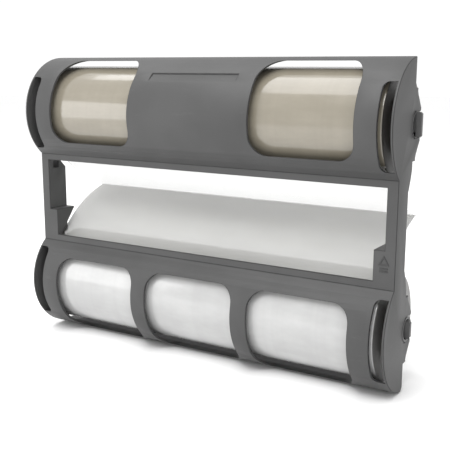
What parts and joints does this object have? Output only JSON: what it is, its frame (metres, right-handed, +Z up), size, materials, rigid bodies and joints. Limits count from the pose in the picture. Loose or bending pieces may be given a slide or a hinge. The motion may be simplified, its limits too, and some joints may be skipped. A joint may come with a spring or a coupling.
{
  "type": "film roll cartridge",
  "caption": "Moulded frame with windowed half-round housings that carries an upper and a lower film roll on braked hubs, their webs meeting behind the feed gap.",
  "frame": {"origin": "centre of the bounding box, midway between the two roll axes", "axes": "+X along the rolls towards the drive keys, -Y the front where the sheet goes in, +Z up from the lower roll to the upper"},
  "size_m": [0.329, 0.0874, 0.24],
  "materials": {
    "frame_plastic": "fine matte moulded",
    "film_beige": "glossy wound film",
    "film_white": "glossy wound film",
    "film_web": "satin film",
    "core_board": "wound paperboard",
    "hub_plastic": "matte moulded",
    "spindle_plastic": "matte moulded",
    "felt": "pressed felt",
    "steel": "bright zinc",
    "nut_plastic": "natural nylon"
  },
  "bodies": {
    "root": {"frame": "frame_plastic", "upper_web": "film_web", "upper_spindle": "spindle_plastic", "upper_friction_washer": "felt", "upper_thrust_washer": "steel", "upper_brake_spring": "steel", "upper_tension_nut": "nut_plastic", "lower_web": "film_web", "lower_spindle": "spindle_plastic", "lower_friction_washer": "felt", "lower_thrust_washer": "steel", "lower_brake_spring": "steel", "lower_tension_nut": "nut_plastic"},
    "upper_roll": {"upper_film_roll": "film_beige", "upper_core": "core_board", "upper_drive_hub": "hub_plastic", "upper_brake_hub": "hub_plastic"},
    "lower_roll": {"lower_film_roll": "film_white", "lower_core": "core_board", "lower_drive_hub": "hub_plastic", "lower_brake_hub": "hub_plastic"}
  },
  "joints": [
    {"name": "lower_roll_spin", "type": "hinge", "parent": "root", "child": "lower_roll", "pos_m": [-0.002, 0.00265, -0.0737], "axis": [1, 0, 0], "continuous": true},
    {"name": "upper_roll_spin", "type": "hinge", "parent": "root", "child": "upper_roll", "pos_m": [-0.002, 0.00265, 0.0737], "axis": [1, 0, 0], "continuous": true}
  ],
  "couplings": [
    {"joint": "upper_roll_spin", "follows": "lower_roll_spin", "ratio": -1.0332}
  ]
}
